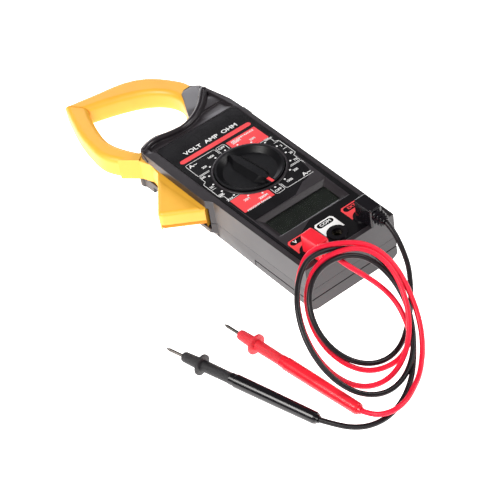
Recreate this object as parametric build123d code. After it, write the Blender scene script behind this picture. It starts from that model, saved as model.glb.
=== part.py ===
"""Clamp meter: a hand-held meter with a spring-closed jaw, a rotary selector and two test leads.

Millimetres. The origin is on the back face, under the selector's axis.
+Z points out of the front face, +Y towards the jaws, -X towards the trigger.
"""
import math
import os

from build123d import *

# ---------------------------------------------------------------- driving sizes
BOTTOM_Y = -90.0          # bottom end face
JAW_TIP = (-39.5, 141.5)  # beak where the two jaws meet
HALF_BOTTOM = 31.5        # half width of the case at its bottom end
HALF_TOP = 33.0           # half width of the case below the guard
CASE_DEPTH = 32.2         # back face to front face
SPLIT_Z = 15.3            # parting line of the two case shells
COVER_Z = 8.0             # top edge of the battery cover
COVER_TOP_Y = -42.0       # upper end of the battery cover
WALL = 2.2
PLATE = 2.2               # thickness of the front plate
SEAM = 0.7                # gap at the battery cover's seam
BACK_ROUND = 8.0          # radius of the two long back edges
FLANGE_X = -36.0          # outer edge of the hand guard beside the trigger
FLANGE_Y = -8.0           # lower end of that guard
HORN_LOW = 1.0            # lug of the rear shell beside the jaw's root
HORN_HIGH = 8.5
SHOULDER_Y = 53.0         # where the front face ends and the shoulder begins

JAW_LOW = 11.5            # jaw and trigger, from the back
JAW_HIGH = 26.0
JAW_MID = 18.75           # parting plane of the jaw halves
JAW_ROUND = 3.6           # rounding of the jaw's long edges
TRIGGER_ROUND = 2.5       # rounding of the trigger's outer edges
TRIGGER_SLOPE = 4.2       # height of the slope under the trigger's outer side
ARM_END_Y = 66.0          # where the moving jaw's arm meets its root, on the inner side
ARM_HEEL = (-46.8, 71.2)  # and on the outer side
SLOT_LOW = 11.0           # the opening in the shells that the jaw swings through
SLOT_HIGH = 26.5
PIVOT = (-25.0, 44.0)     # axis of the moving jaw
PIVOT_RADIUS = 2.0
PIVOT_CLEARANCE = 0.05
PIN_BOTTOM = 5.0
PIN_TOP = 28.4
CORE_LOW = 14.6           # laminated cores inside the jaws
CORE_HIGH = 22.9
CORE_WIDTH = 5.0

BOARD_LOW = 26.3          # circuit board
BOARD_HIGH = 27.3

KNOB_RADIUS = 20.6
KNOB_HOLE_RADIUS = 21.0
KNOB_RING_RADIUS = 22.6
KNOB_TURN = 5.0           # the selector rests a little off its end position
KNOB_LOW = 28.2
RIM_TOP = 33.2            # rim of the dished knob
DISH_FLOOR = 30.7
DISH_RADII = (19.4, 16.0)  # dish at the rim's top and at its floor
GRIP_TOP = 33.9
GRIP_BASE = ((0.0, 19.4), (6.0, 9.0))  # end and corner of the grip's hexagon, where it meets the dish
GRIP_CROWN = ((0.0, 17.6), (2.3, 11.0))  # the same at its top
POINTER = (2.0, 15.4, 20.2)  # width of the red index, and the circles it runs between

LCD_CENTRE_Y = -48.6
LCD_OUTER = (51.0, 22.0)  # upper edge of the sloping display surround
LCD_INNER = (42.0, 14.5)  # lower edge, where the window shows

JACK_Y = -79.0
JACK_PITCH = 19.0
JACK_BORE_RADIUS = 2.1
JACK_RING_RADIUS = 5.8
JACK_HOLE_RADIUS = 3.15
JACK_BOTTOM = 13.0
PIN_RADIUS = 2.0

HOLD_Y = 47.5             # hold button on the right-hand side
HOLD_Z = 27.6
HOLD_SIZE = (8.0, 4.0)
HOLD_PROUD = 2.4

LEAD_DIAMETER = 3.0
LEAD_HEIGHT = 39.5        # height of the lead where it leaves its plug
PLUG_END_Y = -91.0
BOOT_END_Y = -99.0
PLUG_WIDTH = 8.2
PLUG_TOP = 45.0
PLUG_BACK_Y = -76.6
RIB_COUNT = 3              # ribs of a plug's boot
RIB_PITCH = 2.2
RED_PLUG_TURN = 4.0        # the red plug is turned a little in its jack

PROBE_RED = ((-74.9, -67.8), (-60.4, -165.7))    # tip and tail of each probe on the floor
PROBE_BLACK = ((-108.4, -59.6), (-79.7, -155.2))


# ---------------------------------------------------------------- small helpers
def box_between(low, high):
    """Box from its lowest corner to its highest corner."""
    size = [b - a for a, b in zip(low, high)]
    centre = [(a + b) / 2 for a, b in zip(low, high)]
    return Pos(*centre) * Box(*size)


def cylinder_between(x, y, low, high, radius):
    """Upright cylinder."""
    return Pos(x, y, (low + high) / 2) * Cylinder(radius, high - low)


def tube_between(x, y, low, high, outer, inner):
    """Upright tube."""
    return cylinder_between(x, y, low, high, outer) - cylinder_between(x, y, low - 1, high + 1, inner)


def prism(face, low, high):
    """Upright prism on a plan outline drawn at height zero."""
    return Pos(0, 0, low) * extrude(face, amount=high - low, dir=(0, 0, 1))


def polygon(points):
    """Plan face inside a closed polygon."""
    return make_face(Polyline(*points, close=True))


def rounded_plate(width, height, radius, low, high, centre=(0, 0)):
    """Upright plate with a rounded rectangle as its outline."""
    return Pos(centre[0], centre[1], 0) * prism(RectangleRounded(width, height, radius), low, high)


def round_edges(solid, height, radius):
    """Rounds every edge that lies at one height."""
    edges = [e for e in solid.edges() if abs(e.center().Z - height) < 1e-3 and
             abs(e.bounding_box().size.Z) < 1e-3]
    return fillet(edges, radius)


def countersunk_screw(x, y, head_z, length, shank, head, up):
    """Screw along Z with a cone head at head_z; up is +1 where the head faces +Z."""
    head_height = head - shank
    profile = Polyline(
        (0, 0), (head, 0), (shank, -head_height), (shank, -length), (0, -length), close=True)
    screw = revolve(Plane.XZ * make_face(profile), Axis.Z)
    slot = box_between((-head * 0.6, -0.3, -0.6), (head * 0.6, 0.3, 1))
    cross = slot + Rot(0, 0, 90) * slot
    turned = (screw - cross) if up > 0 else Rot(180, 0, 0) * (screw - cross)
    return Pos(x, y, head_z) * turned


def helix_spring(radius, wire, pitch, height):
    """Round-wire coil spring standing on z = 0, with its axis on Z."""
    path = Helix(pitch=pitch, height=height, radius=radius)
    start = path @ 0
    section = Plane(origin=start, z_dir=path % 0) * Circle(wire / 2)
    return sweep(section, path=path)


# ---------------------------------------------------------------- plan outlines
def guard_curve():
    """Concave guard edge from the left horn to the right horn, with its small crest."""
    return [
        ThreePointArc((-34.6, 61.8), (-28.0, 64.6), (-21.0, 65.2)),
        ThreePointArc((-21.0, 65.2), (-12.5, 62.9), (-4.0, 61.9)),
        ThreePointArc((-4.0, 61.9), (14.6, 70.8), (26.0, 84.5)),
    ]


def case_face():
    """Outline of the case seen from the front."""
    edges = guard_curve()
    edges += [
        ThreePointArc((26.0, 84.5), (28.2, 84.2), (29.0, 81.5)),
        Line((29.0, 81.5), (HALF_TOP - 0.3, 62.0)),
        Line((HALF_TOP - 0.3, 62.0), (HALF_TOP, 46.0)),
        Line((HALF_TOP, 46.0), (HALF_BOTTOM, BOTTOM_Y)),
        Line((HALF_BOTTOM, BOTTOM_Y), (-HALF_BOTTOM, BOTTOM_Y)),
        Line((-HALF_BOTTOM, BOTTOM_Y), (-HALF_TOP, FLANGE_Y)),
        Line((-HALF_TOP, FLANGE_Y), (FLANGE_X, FLANGE_Y + 4.0)),
        Line((FLANGE_X, FLANGE_Y + 4.0), (FLANGE_X, 58.5)),
        ThreePointArc((FLANGE_X, 58.5), (-35.7, 60.6), (-34.6, 61.8)),
    ]
    return make_face(Wire(edges))


def inner_face():
    """Outline of the hollow inside the case."""
    return polygon([
        (-HALF_BOTTOM + WALL, BOTTOM_Y + WALL), (HALF_BOTTOM - WALL, BOTTOM_Y + WALL),
        (HALF_TOP - WALL, 46.0), (HALF_TOP - WALL - 0.3, 62.0), (29.0 - WALL, 76.0),
        (24.5, 78.5), (17.2, 69.6), (8.0, 62.9), (-4.0, 59.4), (-12.5, 60.3),
        (-21.0, 62.6), (-28.0, 62.0), (-33.4, 59.5), (-33.6, FLANGE_Y + 5.5),
        (-HALF_TOP + WALL, FLANGE_Y + 2.0)])


def fixed_jaw_face(grow=0.0):
    """Outline of the fixed jaw, with its root inside the case."""
    outer = Spline(
        (-16.0, 137.4 + grow), (2.0, 133.8 + grow), (17.5 + 0.7 * grow, 122.8 + 0.7 * grow),
        (26.4 + grow, 108.5), (29.0 + grow, 90.0), tangents=[(1, -0.12), (0, -1)])
    inner = Spline(
        (5.5 - grow, 69.0), (10.5 - grow, 80.0), (15.0 - grow, 91.0), (13.2 - grow, 102.0),
        (7.0 - 0.7 * grow, 110.6 - 0.7 * grow), (-7.0, 119.6 - grow), (-30.3, 127.8 - grow),
        tangents=[(0.3, 1), (-1, 0.3)])
    tip = (JAW_TIP[0], JAW_TIP[1])
    edges = [
        outer,
        Line((29.0 + grow, 90.0), (29.0 + grow, 66.0)),
        Line((29.0 + grow, 66.0), (5.5 - grow, 66.0)),
        Line((5.5 - grow, 66.0), (5.5 - grow, 69.0)),
        inner,
        Line((-30.3, 127.8 - grow), tip),
        Line(tip, (-16.0, 137.4 + grow)),
    ]
    return make_face(Wire(edges))


def moving_arm_face():
    """Outline of the curved arm of the moving jaw, from its tip to the guard."""
    tip = (JAW_TIP[0] - 0.5, JAW_TIP[1] - 1.2)
    inner_tip = (-31.0, 127.2)
    outer = Spline(
        tip, (-44.6, 126.0), (-49.0, 109.5), (-51.2, 94.0), (-50.6, 79.5), ARM_HEEL,
        tangents=[(-0.35, -1), (0.5, -1)])
    inner = Spline(
        (-31.0, ARM_END_Y), (-37.4, 80.0), (-39.8, 91.0), (-38.2, 104.0), inner_tip,
        tangents=[(-0.5, 1), (0.4, 1)])
    edges = [outer, Line(ARM_HEEL, (-31.0, ARM_END_Y)), inner, Line(inner_tip, tip)]
    return make_face(Wire(edges))


def lever_face():
    """Outline of the lever inside the guard: the jaw's root, the pivot web and the trigger."""
    return make_face(Wire([
        Line(ARM_HEEL, (-37.6, 61.4)),
        Line((-37.6, 61.4), (-34.8, 53.5)),
        Line((-34.8, 53.5), (-36.2, 44.6)),
        Line((-36.2, 44.6), (-56.8, 15.4)),
        ThreePointArc((-56.8, 15.4), (-57.3, 13.0), (-56.0, 10.9)),
        Line((-56.0, 10.9), (-36.5, -3.0)),
        Line((-36.5, -3.0), (-33.0, -1.0)),
        Line((-33.0, -1.0), (-30.0, 26.0)),
        Line((-30.0, 26.0), (-18.5, 38.5)),
        ThreePointArc((-18.5, 38.5), (-16.5, 44.0), (-18.0, 50.0)),
        Line((-18.0, 50.0), (-18.0, 57.5)),
        Line((-18.0, 57.5), (-27.0, 58.5)),
        Line((-27.0, 58.5), (-31.0, ARM_END_Y)),
        Line((-31.0, ARM_END_Y), ARM_HEEL),
    ]))


# ---------------------------------------------------------------- case
def back_edge_tools():
    """Two tools that round the long back edges of the case."""
    tools = []
    for side in (-1, 1):
        corner_x = side * (HALF_TOP + 0.6)
        centre_x = corner_x - side * BACK_ROUND
        outside = box_between(
            (min(centre_x, side * 60), BOTTOM_Y - 5, -5), (max(centre_x, side * 60), 110, BACK_ROUND))
        rod = Pos(centre_x, 10, BACK_ROUND) * Rot(90, 0, 0) * Cylinder(BACK_ROUND, 260)
        tools.append(outside - rod)
    return tools


def collar():
    """Sloping collar of the shells round the root of the fixed jaw."""
    plan = polygon([(3.5, 64.5), (8.6, 75.5), (13.5, 85.0), (17.5, 93.5), (21.0, 96.5), (27.5, 96.8),
                    (30.8, 92.0), (31.0, 80.0), (29.6, 66.0)])
    side = Plane.YZ * make_face(Polyline(
        (60.0, 4.0), (94.0, 8.0), (98.0, 11.0), (98.0, 25.9), (94.0, 27.2), (72.0, 31.0),
        (60.0, 31.0), close=True))
    return prism(plan, 0, 40) & extrude(side, amount=60, both=True)


def shoulder_recess():
    """Material taken off the front between the face and the guard's lip."""
    plan = make_face(Wire([
        Line((-31.5, SHOULDER_Y + 1.5), (29.6, SHOULDER_Y + 1.5)),
        Line((29.6, SHOULDER_Y + 1.5), (27.0, 78.5)),
        ThreePointArc((27.0, 78.5), (14.4, 65.8), (-3.6, 58.6)),
        ThreePointArc((-3.6, 58.6), (-12.5, 59.6), (-20.6, 61.9)),
        ThreePointArc((-20.6, 61.9), (-27.0, 61.4), (-31.5, 58.6)),
        Line((-31.5, 58.6), (-31.5, SHOULDER_Y + 1.5)),
    ]))
    side = Plane.YZ * make_face(Polyline(
        (SHOULDER_Y, CASE_DEPTH), (SHOULDER_Y + 7, CASE_DEPTH - 2.2), (90, CASE_DEPTH - 2.6),
        (90, 40), (SHOULDER_Y, 40), close=True))
    return prism(plan, 20, 40) & extrude(side, amount=60, both=True)


def jaw_passage():
    """Opening in the left side and the guard that the moving jaw swings through."""
    plan = polygon([(-60, -5.0), (-26.0, -5.0), (-26.0, 20.0), (-13.5, 40.0), (-13.5, 75.0),
                    (-60, 75.0)])
    return prism(plan, SLOT_LOW, SLOT_HIGH)


def screw_places():
    """The four case screws."""
    return [(-27.0, -25.0), (27.0, -25.0), (26.5, 38.0), (-6.0, 40.0)]


def case_body():
    """Outside of both shells as one block, with the raised guard lip and the collar."""
    block = prism(case_face(), 0, CASE_DEPTH)
    lip_ring = prism(case_face(), CASE_DEPTH - 1, CASE_DEPTH + 0.9)
    keep = prism(make_face(Wire([
        ThreePointArc((-33.0, 57.8), (-27.0, 61.6), (-20.6, 62.2)),
        ThreePointArc((-20.6, 62.2), (-12.5, 60.0), (-3.6, 59.0)),
        ThreePointArc((-3.6, 59.0), (15.6, 67.6), (26.4, 80.0)),
        Line((26.4, 80.0), (26.4, 90.0)),
        Line((26.4, 90.0), (-40.0, 90.0)),
        Line((-40.0, 90.0), (-40.0, 57.8)),
        Line((-40.0, 57.8), (-33.0, 57.8)),
    ])), 0, 50)
    body = block + (lip_ring & keep)
    body -= shoulder_recess()
    body += collar()
    for tool in back_edge_tools():
        body -= tool
    return body


def cavity():
    """Hollow inside the case: low under the shoulder, higher under the front plate."""
    hollow = inner_face()
    tall = prism(hollow, WALL, CASE_DEPTH - PLATE)
    lowered = box_between((-60, SHOULDER_Y - 4, 27.6), (60, 120, 60))
    rounding = []
    for side in (-1, 1):
        inner_x = side * (HALF_TOP - WALL + 0.4)
        centre_x = inner_x - side * (BACK_ROUND - WALL)
        corner = box_between(
            (min(centre_x, side * 60), BOTTOM_Y, 0), (max(centre_x, side * 60), 110, BACK_ROUND))
        rod = Pos(centre_x, 10, BACK_ROUND) * Rot(90, 0, 0) * Cylinder(BACK_ROUND - WALL, 260)
        rounding.append(corner - rod)
    pocket = box_between((24.0, HOLD_Y - 5.6, 20.0), (30.5, HOLD_Y + 5.6, HOLD_Z + 2.3))
    return tall - lowered - rounding[0] - rounding[1] + pocket


def lcd_surround_cut():
    """Sloping funnel round the display window."""
    centre = Pos(0, LCD_CENTRE_Y, 0)
    upper = Plane(origin=(0, LCD_CENTRE_Y, CASE_DEPTH + 0.1)) * Rectangle(*LCD_OUTER)
    lower = Plane(origin=(0, LCD_CENTRE_Y, 29.4)) * Rectangle(*LCD_INNER)
    funnel = loft([lower, upper])
    return funnel + centre * box_between((-LCD_INNER[0] / 2, -LCD_INNER[1] / 2, 28.0),
                                         (LCD_INNER[0] / 2, LCD_INNER[1] / 2, 29.5))


def hold_hole(margin):
    """Side opening of the hold button."""
    return Pos(HALF_TOP, HOLD_Y, HOLD_Z) * Box(12, HOLD_SIZE[0] + 2 * margin, HOLD_SIZE[1] + 2 * margin)


def shells():
    """Front shell, rear shell and battery cover, cut from one hollow body."""
    body = case_body() - cavity()
    body -= prism(fixed_jaw_face(0.12), JAW_LOW - 0.12, JAW_HIGH + 0.12)
    body -= jaw_passage()
    body -= hold_hole(0.25)
    front = body & box_between((-80, -120, SPLIT_Z), (80, 120, 60))
    rear = body & box_between((-80, -120, -1), (80, 120, SPLIT_Z))
    front = front_details(front)
    rear, cover = rear_details(rear)
    return front, rear, cover


def front_details(front):
    """Label recess, display surround, knob and jack holes, and inside posts of the front shell."""
    recess = polygon([(-28.4, BOTTOM_Y + 3.2), (28.4, BOTTOM_Y + 3.2), (29.6, SHOULDER_Y - 1.0),
                      (27.6, SHOULDER_Y + 1.0), (-27.6, SHOULDER_Y + 1.0), (-29.6, SHOULDER_Y - 1.0)])
    front -= prism(recess, CASE_DEPTH - 0.5, 40)
    front += rounded_plate(49.5, 20.5, 1.5, 29.4, CASE_DEPTH - 1.5, (0, LCD_CENTRE_Y))
    front -= lcd_surround_cut()
    front -= cylinder_between(0, 0, 20, 40, KNOB_HOLE_RADIUS)
    front += tube_between(0, 0, 30.5, CASE_DEPTH + 0.25, KNOB_RING_RADIUS, KNOB_HOLE_RADIUS)
    for place in (-1, 0, 1):
        front -= cylinder_between(place * JACK_PITCH, JACK_Y, 20, 40, JACK_RING_RADIUS + 0.1)
    for x, y in screw_places():
        front += tube_between(x, y, SPLIT_Z, CASE_DEPTH - 1.5, 2.6, 1.05)
    for x, y in board_screw_places():
        front += tube_between(x, y, BOARD_HIGH + 0.05, CASE_DEPTH - 1.5, 2.2, 0.9)
    front += cylinder_between(PIVOT[0], PIVOT[1], 26.8, CASE_DEPTH - 1.5, 4.2)
    front -= cylinder_between(PIVOT[0], PIVOT[1], 20.0, PIN_TOP + 0.2, PIVOT_RADIUS)
    return front


def rear_horn():
    """Rounded lug of the rear shell that shows under the moving jaw's arm."""
    return prism(make_face(Wire([
        Line((-28.6, 55.0), (-35.4, 55.0)),
        Line((-35.4, 55.0), (-35.6, 63.5)),
        ThreePointArc((-35.6, 63.5), (-33.2, 70.0), (-29.6, 65.0)),
        Line((-29.6, 65.0), (-28.6, 55.0)),
    ])), HORN_LOW, HORN_HIGH)


def rear_details(rear):
    """Screw posts, pivot post and battery opening of the rear shell, and the cover over it."""
    cover_box = box_between((-80, BOTTOM_Y - 5, -1), (80, COVER_TOP_Y, COVER_Z))
    cover = rear & cover_box
    rear -= box_between((-80, BOTTOM_Y - 5, -1), (80, COVER_TOP_Y + SEAM, COVER_Z + SEAM))
    horn = rear_horn()
    rear += chamfer([e for e in horn.edges() if abs(e.center().Z - HORN_LOW) < 1e-3], 1.6)
    for x, y in screw_places():
        rear += cylinder_between(x, y, WALL - 0.5, SPLIT_Z - 0.05, 2.9)
        rear -= cylinder_between(x, y, -1, SPLIT_Z + 1, 1.35)
        rear -= cylinder_between(x, y, -1, 3.6, 2.3)
    rear += cylinder_between(PIVOT[0], PIVOT[1], WALL - 0.5, SLOT_LOW - 0.1, 4.2)
    rear -= cylinder_between(PIVOT[0], PIVOT[1], PIN_BOTTOM, 20, PIVOT_RADIUS)
    rear += box_between((-29.0, COVER_TOP_Y + SEAM, WALL - 0.3), (29.0, COVER_TOP_Y + SEAM + 1.6, 15.2))
    rear += cylinder_between(0, COVER_TOP_Y + 6.2, WALL - 0.5, 9.0, 3.2)
    rear -= cylinder_between(0, COVER_TOP_Y + 6.2, 2.6, 9.5, 1.0)
    rear -= rounded_plate(12.0, 13.4, 2.0, -1, 1.35, (0, COVER_TOP_Y + 3.6))
    rear -= cylinder_between(0, COVER_TOP_Y + 6.2, -1, 3.0, 1.2)
    tongue = rounded_plate(11.4, 11.4, 1.8, 0.0, 1.2, (0, COVER_TOP_Y + 4.0))
    tongue -= cylinder_between(0, COVER_TOP_Y + 6.2, -1, 3, 2.3)
    cover += tongue
    for n in range(5):
        y = BOTTOM_Y + 12 + 3.0 * n
        cover -= box_between((-12, y, -1), (12, y + 1.4, 0.6))
    return rear, cover


def case_screws():
    """Four screws from the back."""
    return Compound([countersunk_screw(x, y, 2.4, 22.0, 1.0, 2.0, -1) for x, y in screw_places()])


def battery_cover_screw():
    """Screw that holds the battery cover's tongue."""
    return countersunk_screw(0, COVER_TOP_Y + 6.2, 0.2, 7.0, 0.95, 2.0, -1)


# ---------------------------------------------------------------- front furniture
def face_label():
    """Printed label in the recess of the front shell."""
    outline = polygon([(-28.2, BOTTOM_Y + 3.4), (28.2, BOTTOM_Y + 3.4), (29.4, SHOULDER_Y - 1.1),
                       (27.5, SHOULDER_Y + 0.8), (-27.5, SHOULDER_Y + 0.8), (-29.4, SHOULDER_Y - 1.1)])
    label = prism(outline, CASE_DEPTH - 0.5, CASE_DEPTH - 0.2)
    label -= cylinder_between(0, 0, 20, 40, KNOB_RING_RADIUS + 0.1)
    label -= Pos(0, LCD_CENTRE_Y, 30) * Box(LCD_OUTER[0] + 0.2, LCD_OUTER[1] + 0.2, 20)
    for place in (-1, 0, 1):
        label -= cylinder_between(place * JACK_PITCH, JACK_Y, 20, 40, JACK_RING_RADIUS + 0.15)
    return label


def lcd_window():
    """Clear window glued under the display surround."""
    return rounded_plate(47.0, 18.5, 1.0, 28.5, 29.35, (0, LCD_CENTRE_Y))


def lcd_panel():
    """Display glass."""
    return rounded_plate(46.0, 17.6, 0.4, 27.8, 28.4, (0, LCD_CENTRE_Y))


def lcd_frame():
    """Moulded frame that holds the display on the board."""
    frame = rounded_plate(52.0, 22.4, 1.2, BOARD_HIGH + 0.05, 29.3, (0, LCD_CENTRE_Y))
    return frame - (Pos(0, LCD_CENTRE_Y, 28) * Box(47.4, 18.9, 10))


def display_strips():
    """Two rubber contact strips between the display and the board."""
    strips = []
    for side in (-1, 1):
        y = LCD_CENTRE_Y + side * 7.4
        strips.append(box_between((-21.5, y - 0.9, BOARD_HIGH + 0.02), (21.5, y + 0.9, 27.75)))
    return Compound(strips)


def circuit_board():
    """Main board under the front plate."""
    board = box_between((-28.6, BOTTOM_Y + 3.0, BOARD_LOW), (28.6, 30.0, BOARD_HIGH))
    board -= cylinder_between(0, 0, 20, 30, 3.2)
    for place in (-1, 0, 1):
        board -= cylinder_between(place * JACK_PITCH, JACK_Y, 20, 30, 3.3)
    for x, y in screw_places():
        board -= cylinder_between(x, y, 20, 30, 3.0)
    for x, y in board_screw_places():
        board -= cylinder_between(x, y, 20, 30, 1.0)
    return board


def board_screw_places():
    """The four board screws."""
    return [(-22.0, -12.0), (24.0, 26.5), (-14.0, -66.0), (14.0, -66.0)]


def board_screws():
    """Four short screws that hold the board to the front shell."""
    screws = []
    for x, y in board_screw_places():
        screws.append(countersunk_screw(x, y, BOARD_LOW - 0.9, 4.6, 0.8, 1.6, -1))
    return Compound(screws)


def measuring_chip():
    """Measuring chip under the board."""
    return rounded_plate(16.0, 16.0, 1.0, BOARD_LOW - 2.1, BOARD_LOW - 0.05, (13.0, -30.0))


def trimmer():
    """Calibration trimmer under the board."""
    body = rounded_plate(6.6, 6.6, 0.8, BOARD_LOW - 3.6, BOARD_LOW - 0.05, (24.0, 8.0))
    return body - cylinder_between(24.0, 8.0, BOARD_LOW - 5, BOARD_LOW - 3.0, 1.6)


def fuse():
    """Glass fuse between the jacks and the board."""
    rod = Rot(0, 90, 0) * Cylinder(2.5, 20.0)
    return Pos(9.5, -61.5, BOARD_LOW - 2.6) * rod


def buzzer():
    """Piezo disc in its shallow housing."""
    cup = cylinder_between(16.0, -10.0, BOARD_LOW - 4.2, BOARD_LOW - 0.05, 7.5)
    return cup - cylinder_between(16.0, -10.0, BOARD_LOW - 5, BOARD_LOW - 3.6, 1.2)


# ---------------------------------------------------------------- selector
def turned_by(angle, piece):
    """Piece turned about the selector's axis."""
    return Rot(0, 0, angle) * piece


def grip_outline(end, corner, height):
    """Long hexagon of the grip at one height."""
    (_, end_y), (side_x, side_y) = end, corner
    points = [(0, end_y), (-side_x, side_y), (-side_x, -side_y), (0, -end_y), (side_x, -side_y), (side_x, side_y)]
    return Pos(0, 0, height) * polygon(points)


def rotary_knob():
    """Dished dial with a faceted grip across it, flush with its rim."""
    disc = cylinder_between(0, 0, KNOB_LOW, RIM_TOP, KNOB_RADIUS)
    dish = loft([Pos(0, 0, DISH_FLOOR) * Circle(DISH_RADII[1]), Pos(0, 0, RIM_TOP + 0.01) * Circle(DISH_RADII[0])])
    disc -= dish
    grip = loft([grip_outline(*GRIP_BASE, DISH_FLOOR - 0.3), grip_outline(*GRIP_CROWN, GRIP_TOP)])
    width, inner, outer = POINTER
    pad = box_between((-width, -outer, DISH_FLOOR - 0.3), (width, -inner + 1.5, RIM_TOP))
    knob = disc + grip + pad
    knob += cylinder_between(0, 0, BOARD_HIGH + 0.25, KNOB_LOW + 0.2, 5.0)
    knob += cylinder_between(0, 0, BOARD_LOW - 1.5, KNOB_LOW + 0.2, 2.9)
    knob -= box_between((-width / 2, -outer, RIM_TOP - 0.5), (width / 2, -inner, GRIP_TOP + 1))
    for angle in (60, 180, 300):
        knob -= turned_by(angle, cylinder_between(14.0, 0, KNOB_LOW - 0.2, 29.8, 1.6))
    return turned_by(KNOB_TURN, knob)


def knob_pointer():
    """Red index set into the end of the grip."""
    width, inner, outer = POINTER
    strip = box_between((-width / 2, -outer, RIM_TOP - 0.5), (width / 2, -inner, RIM_TOP + 0.1))
    return turned_by(KNOB_TURN, strip)


def detent_springs():
    """Three small coil springs in the knob's underside."""
    spring = Pos(14.0, 0, 28.55) * helix_spring(1.1, 0.3, 0.5, 1.0)
    return Compound([turned_by(KNOB_TURN + angle, spring) for angle in (60, 180, 300)])


def detent_balls():
    """Three steel balls that click along the board."""
    ball = Pos(14.0, 0, BOARD_HIGH + 0.66) * Sphere(0.6)
    return Compound([turned_by(KNOB_TURN + angle, ball) for angle in (60, 180, 300)])


def knob_contacts():
    """Sprung contact bridges under the knob."""
    bridges = []
    for radius, angle in ((8.0, 0), (11.0, 120), (17.5, 240)):
        strip = box_between((radius - 1.0, -3.0, 27.9), (radius + 1.0, 3.0, 28.15))
        foot = Pos(radius, 0, BOARD_HIGH + 0.42) * Rot(90, 0, 0) * Cylinder(0.36, 1.6)
        bridges.append(Rot(0, 0, angle) * (strip + foot))
    return Compound(bridges)


def knob_clip():
    """Spring clip under the board that keeps the knob in."""
    ring = tube_between(0, 0, BOARD_LOW - 1.2, BOARD_LOW - 0.4, 5.2, 2.95)
    return ring - box_between((0, -1.4, 20), (8, 1.4, 30))


# ---------------------------------------------------------------- jacks
def jack_housing(place):
    """Moulded ring and sleeve of one input jack."""
    x = place * JACK_PITCH
    lower = tube_between(x, JACK_Y, JACK_BOTTOM, BOARD_LOW - 0.4, JACK_RING_RADIUS - 1.2, JACK_HOLE_RADIUS)
    upper = tube_between(x, JACK_Y, BOARD_HIGH + 0.4, CASE_DEPTH + 0.4, JACK_RING_RADIUS, JACK_HOLE_RADIUS)
    return upper, lower


def jack_housings():
    """Upper rings of the three jacks, one solid each."""
    return Compound([jack_housing(place)[0] for place in (-1, 0, 1)])


def jack_sleeves():
    """Insulating sleeves behind the board, one solid each."""
    return Compound([jack_housing(place)[1] for place in (-1, 0, 1)])


def jack_contacts():
    """Three slotted brass tubes that take the 4 mm plugs."""
    tubes = []
    for place in (-1, 0, 1):
        x = place * JACK_PITCH
        tube = tube_between(x, JACK_Y, JACK_BOTTOM + 0.6, CASE_DEPTH - 2.4, 3.05, JACK_BORE_RADIUS)
        tubes.append(tube - box_between((x - 0.3, JACK_Y - 5, 0), (x + 0.3, JACK_Y, JACK_BOTTOM + 4)))
    return Compound(tubes)


# ---------------------------------------------------------------- hold button
def hold_button():
    """Button cap through the right-hand side, with a flange inside."""
    outside = HALF_TOP + HOLD_PROUD
    cap = box_between((HALF_TOP - WALL - 1.0, HOLD_Y - HOLD_SIZE[0] / 2, HOLD_Z - HOLD_SIZE[1] / 2),
                      (outside, HOLD_Y + HOLD_SIZE[0] / 2, HOLD_Z + HOLD_SIZE[1] / 2))
    crown = [e for e in cap.edges() if abs(e.center().X - outside) < 1e-3]
    cap = fillet(crown, 0.9)
    flange = box_between((HALF_TOP - WALL - 1.4, HOLD_Y - 5.0, HOLD_Z - 3.2),
                         (HALF_TOP - WALL - 0.7, HOLD_Y + 5.0, HOLD_Z + 2.0))
    return cap + flange


def hold_switch():
    """Small push switch behind the button, on its own little board."""
    board = box_between((24.4, HOLD_Y - 4.4, 17.5), (25.2, HOLD_Y + 4.4, HOLD_Z + 2.0))
    case = box_between((25.2, HOLD_Y - 3.0, HOLD_Z - 3.0), (27.0, HOLD_Y + 3.0, HOLD_Z + 2.0))
    return board + case


def hold_spring():
    """Return spring of the hold button."""
    spring = helix_spring(1.5, 0.25, 0.4, 0.8)
    return Pos(27.3, HOLD_Y, HOLD_Z) * Rot(0, 90, 0) * spring


# ---------------------------------------------------------------- battery
def battery():
    """Nine volt battery lying across the case."""
    return rounded_block((-28.0, -73.5, 3.2), (18.5, -47.2, 20.4), 2.0)


def rounded_block(low, high, radius):
    """Box with its four long edges along X rounded."""
    block = box_between(low, high)
    edges = block.edges().filter_by(Axis.X)
    return fillet(edges, radius)


def battery_terminals():
    """Snap terminals on the battery's end."""
    parts = []
    for y in (-66.7, -54.0):
        parts.append(Pos(19.75, y, 11.8) * Rot(0, 90, 0) * Cylinder(2.9 if y < -60 else 3.6, 2.4))
    return Compound(parts)


def battery_snap():
    """Connector plate clipped on the battery's terminals."""
    plate = rounded_block((21.05, -71.5, 6.8), (23.6, -49.2, 16.8), 1.0)
    return plate


def battery_wires():
    """Two short wires from the snap connector up to the board."""
    wires = []
    for y, lean in ((-64.0, -2.0), (-57.0, 2.0)):
        points = [(23.75, y, 12.0), (26.4, y, 12.6), (27.0, y + lean, 18.0), (24.6, y + lean, BOARD_LOW - 0.1)]
        path = FilletPolyline(*points, radius=[1.0, 2.2])
        wires.append(sweep(Plane(origin=path @ 0, z_dir=path % 0) * Circle(0.55), path=path))
    return Compound(wires)


# ---------------------------------------------------------------- jaws
def edges_at(solid, height, chosen):
    """Flat edges of a solid at one height that a test on their centre and type picks."""
    return [e for e in solid.edges() if abs(e.center().Z - height) < 1e-3 and
            e.bounding_box().size.Z < 1e-3 and chosen(e)]


def fixed_jaw_solid():
    """Fixed jaw with its long edges rounded."""
    solid = prism(fixed_jaw_face(), JAW_LOW, JAW_HIGH)
    for height in (JAW_HIGH, JAW_LOW):
        solid = fillet(edges_at(solid, height, lambda e: e.geom_type == GeomType.BSPLINE or
                                (e.center().Y > 130 and e.length > 20)), JAW_ROUND)
    return solid


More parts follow.
